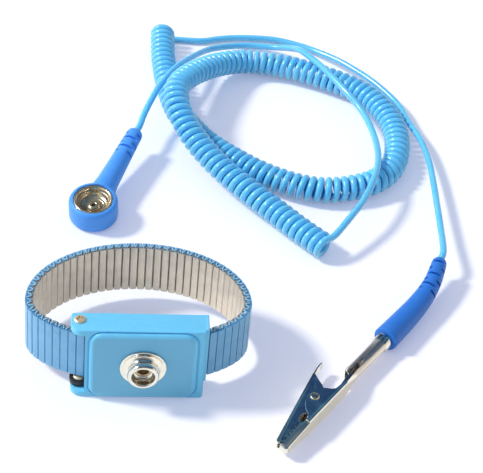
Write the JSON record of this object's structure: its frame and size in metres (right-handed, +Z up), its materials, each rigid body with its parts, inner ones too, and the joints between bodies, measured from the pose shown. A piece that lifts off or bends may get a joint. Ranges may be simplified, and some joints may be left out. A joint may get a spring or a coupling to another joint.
{
  "type": "grounding wrist strap",
  "caption": "Anti-static wrist strap: expansion metal link band on a moulded snap clasp, with a curly ground cord that ends in a snap plug and an alligator clip.",
  "frame": {"origin": "on the surface the strap stands on, under the middle of the strap's own box (band, clasp and stud, without the ground cord)", "axes": "+Z up through the band's opening; the clasp and its snap stud face -Y; +X runs along the clasp's width, from its hinged end to its closed end. The ground cord lies on the same surface behind and to the +X side."},
  "size_m": [0.1419, 0.2177, 0.0292],
  "materials": {
    "housing_blue": "satin moulded ABS, sky blue",
    "plug_blue": "soft moulded PVC, deeper blue",
    "cord_blue": "glossy PVC jacket, light blue",
    "band_paint": "satin steel-blue paint on steel",
    "band_steel": "bare stainless steel, fine brushed",
    "nickel": "bright nickel plate",
    "warm_steel": "polished steel with a warm tint",
    "black_plastic": "black moulded nylon",
    "resistor_tan": "lacquered resistor body"
  },
  "bodies": {
    "root": {"clasp_housing": "housing_blue", "contact_plate": "band_steel", "snap_stud": "nickel", "stud_eyelet": "warm_steel", "hinge_screws": "warm_steel", "band_anchor": "nickel", "clasp_links": "band_steel", "outer_links_left": "band_paint", "outer_links_right": "band_paint", "inner_links_left": "band_steel", "inner_links_right": "band_steel", "staples_left": "band_paint", "staples_right": "band_paint", "plug_body": "plug_blue", "socket_cup": "warm_steel", "socket_spring": "nickel", "socket_eyelet": "warm_steel", "resistor": "resistor_tan", "plug_lead": "cord_blue", "curly_cord": "cord_blue", "clip_lead": "cord_blue", "clip_boot": "plug_blue", "banana_pin": "nickel"},
    "band_back": {"outer_links_back": "band_paint", "inner_links_back": "band_steel", "staples_back": "band_paint"},
    "clamp_lever": {"clamp_lever": "black_plastic"},
    "clip_frame": {"clip_lower_jaw": "nickel", "clip_rivet": "warm_steel", "clip_spring": "nickel"},
    "clip_jaw": {"clip_upper_jaw": "nickel"}
  },
  "joints": [
    {"name": "band_stretch", "type": "slide", "parent": "root", "child": "band_back", "axis": [0, 1, 0], "range_m": [0, 0.015], "stiffness_N_per_m": 120, "deforming": ["outer_links_left", "outer_links_right", "inner_links_left", "inner_links_right", "staples_left", "staples_right"]},
    {"name": "lever_pivot", "type": "hinge", "parent": "root", "child": "clamp_lever", "pos_m": [-0.018, -0.0152, 0.0143], "axis": [0, 0, 1], "range_deg": [0, 75]},
    {"name": "clip_pull", "type": "slide", "parent": "root", "child": "clip_frame", "axis": [-0.6266, -0.7793, 0], "range_m": [0, 0.018]},
    {"name": "jaw_pivot", "type": "hinge", "parent": "clip_frame", "child": "clip_jaw", "pos_m": [0.05427, -0.02582, 0.0042], "axis": [0, 0, -1], "range_deg": [0, 20], "stiffness_Nm_per_rad": 0.05, "springref_deg": -28.65, "deforming": ["clip_spring"]}
  ]
}
